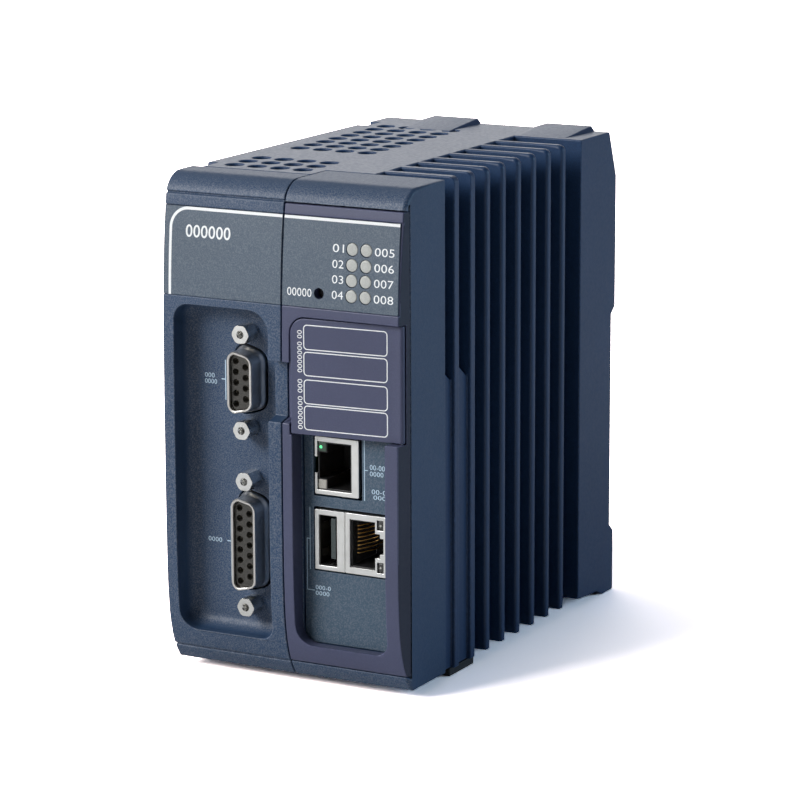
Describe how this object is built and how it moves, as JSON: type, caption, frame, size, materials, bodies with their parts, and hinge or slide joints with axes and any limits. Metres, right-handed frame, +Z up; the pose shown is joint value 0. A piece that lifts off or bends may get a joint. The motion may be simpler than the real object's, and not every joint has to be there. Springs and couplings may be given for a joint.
{
  "type": "plc module",
  "caption": "Double-width rack controller module with a hinged address door, network, USB and serial sockets, status lamps, a cast heat sink on one side and hooks and lever for its rack.",
  "frame": {"origin": "Centre of the footprint, on the surface that the lowest lugs stand on.", "axes": "+X to the right seen from the front, across the rack slots; +Y from the front to the rear, towards the rack's backplane; +Z up."},
  "size_m": [0.0694, 0.1258, 0.1323],
  "materials": {
    "address_door": "fine textured moulding",
    "backplane_plug_left": "satin",
    "backplane_plug_right": "satin",
    "backup_socket": "satin",
    "battery_drawer": "satin",
    "coin_cell": "bright",
    "cover_screw_front_lower": "zinc plated",
    "cover_screw_front_upper": "zinc plated",
    "cover_screw_rear_lower": "zinc plated",
    "cover_screw_rear_upper": "zinc plated",
    "cpu_board": "solder resist",
    "door_hinge_pin": "bright",
    "finned_housing": "painted casting",
    "front_board": "solder resist",
    "jack_screw_15_lower": "nickel plated",
    "jack_screw_15_upper": "nickel plated",
    "jack_screw_9_lower": "nickel plated",
    "jack_screw_9_upper": "nickel plated",
    "left_bezel": "textured moulding",
    "left_label": "printed textured overlay",
    "light_pipes": "frosted clear",
    "lower_activity_lens": "clear",
    "lower_jack_contacts": "gold plated",
    "lower_link_lens": "clear",
    "pillar_front_lower": "turned",
    "pillar_front_upper": "turned",
    "pillar_rear_lower": "turned",
    "pillar_rear_upper": "turned",
    "port_frame": "fine textured moulding",
    "port_panel": "textured moulding",
    "processor": "satin",
    "rear_cover": "satin",
    "release_lever": "satin",
    "release_lever_pin": "bright",
    "release_spring": "bright",
    "reset_button": "satin",
    "reset_switch": "satin",
    "right_bezel": "textured moulding",
    "right_label": "printed textured overlay",
    "run_stop_lever": "satin",
    "run_stop_switch": "satin",
    "serial_board": "solder resist",
    "serial_insulator_15": "satin",
    "serial_insulator_9": "satin",
    "serial_shell_15": "nickel plated",
    "serial_shell_9": "nickel plated",
    "side_cover": "textured moulding",
    "spacer_front_lower": "turned",
    "spacer_front_upper": "turned",
    "spacer_rear_lower": "turned",
    "spacer_rear_upper": "turned",
    "storage_lever": "satin",
    "storage_switch": "satin",
    "thermal_pad": "soft",
    "upper_activity_lens": "clear",
    "upper_jack_contacts": "gold plated",
    "upper_jack_shield": "tin plated",
    "upper_link_lens": "clear",
    "usb_network_shield": "tin plated",
    "usb_tongue": "satin"
  },
  "bodies": {
    "root": {"backplane_plug_left": "backplane_plug_left", "backplane_plug_right": "backplane_plug_right", "backup_socket": "backup_socket", "cover_screw_front_lower": "cover_screw_front_lower", "cover_screw_front_upper": "cover_screw_front_upper", "cover_screw_rear_lower": "cover_screw_rear_lower", "cover_screw_rear_upper": "cover_screw_rear_upper", "cpu_board": "cpu_board", "door_hinge_pin": "door_hinge_pin", "finned_housing": "finned_housing", "front_board": "front_board", "jack_screw_15_lower": "jack_screw_15_lower", "jack_screw_15_upper": "jack_screw_15_upper", "jack_screw_9_lower": "jack_screw_9_lower", "jack_screw_9_upper": "jack_screw_9_upper", "left_bezel": "left_bezel", "left_label": "left_label", "light_pipes": "light_pipes", "lower_activity_lens": "lower_activity_lens", "lower_jack_contacts": "lower_jack_contacts", "lower_link_lens": "lower_link_lens", "pillar_front_lower": "pillar_front_lower", "pillar_front_upper": "pillar_front_upper", "pillar_rear_lower": "pillar_rear_lower", "pillar_rear_upper": "pillar_rear_upper", "port_frame": "port_frame", "port_panel": "port_panel", "processor": "processor", "rear_cover": "rear_cover", "release_lever_pin": "release_lever_pin", "release_spring": "release_spring", "reset_switch": "reset_switch", "right_bezel": "right_bezel", "right_label": "right_label", "run_stop_switch": "run_stop_switch", "serial_board": "serial_board", "serial_insulator_15": "serial_insulator_15", "serial_insulator_9": "serial_insulator_9", "serial_shell_15": "serial_shell_15", "serial_shell_9": "serial_shell_9", "side_cover": "side_cover", "spacer_front_lower": "spacer_front_lower", "spacer_front_upper": "spacer_front_upper", "spacer_rear_lower": "spacer_rear_lower", "spacer_rear_upper": "spacer_rear_upper", "storage_switch": "storage_switch", "thermal_pad": "thermal_pad", "upper_activity_lens": "upper_activity_lens", "upper_jack_contacts": "upper_jack_contacts", "upper_jack_shield": "upper_jack_shield", "upper_link_lens": "upper_link_lens", "usb_network_shield": "usb_network_shield", "usb_tongue": "usb_tongue"},
    "address_door": {"address_door": "address_door"},
    "reset_button": {"reset_button": "reset_button"},
    "run_stop_lever": {"run_stop_lever": "run_stop_lever"},
    "storage_lever": {"storage_lever": "storage_lever"},
    "battery_drawer": {"battery_drawer": "battery_drawer", "coin_cell": "coin_cell"},
    "release_lever": {"release_lever": "release_lever"}
  },
  "joints": [
    {"name": "address_door_hinge", "type": "hinge", "parent": "root", "child": "address_door", "pos_m": [0.033, -0.0597, 0.0821], "axis": [0, 0, 1], "range_deg": [0, 100]},
    {"name": "reset_button_travel", "type": "slide", "parent": "root", "child": "reset_button", "axis": [0, 1, 0], "range_m": [0, 0.0006], "stiffness_N_per_m": 400, "springref_m": -0.001},
    {"name": "run_stop_lever_throw", "type": "hinge", "parent": "root", "child": "run_stop_lever", "pos_m": [0.0128, -0.0533, 0.0894], "axis": [1, 0, 0], "range_deg": [-12, 12]},
    {"name": "storage_lever_throw", "type": "hinge", "parent": "root", "child": "storage_lever", "pos_m": [0.0128, -0.0533, 0.0764], "axis": [1, 0, 0], "range_deg": [-12, 12]},
    {"name": "battery_drawer_slide", "type": "slide", "parent": "root", "child": "battery_drawer", "axis": [0, 0, -1], "range_m": [0, 0.018]},
    {"name": "release_lever_hinge", "type": "hinge", "parent": "root", "child": "release_lever", "pos_m": [0.0003, 0.0291, 0.0066], "axis": [1, 0, 0], "range_deg": [0, 4], "stiffness_Nm_per_rad": 1, "springref_deg": -5.73, "deforming": ["release_spring"]}
  ]
}
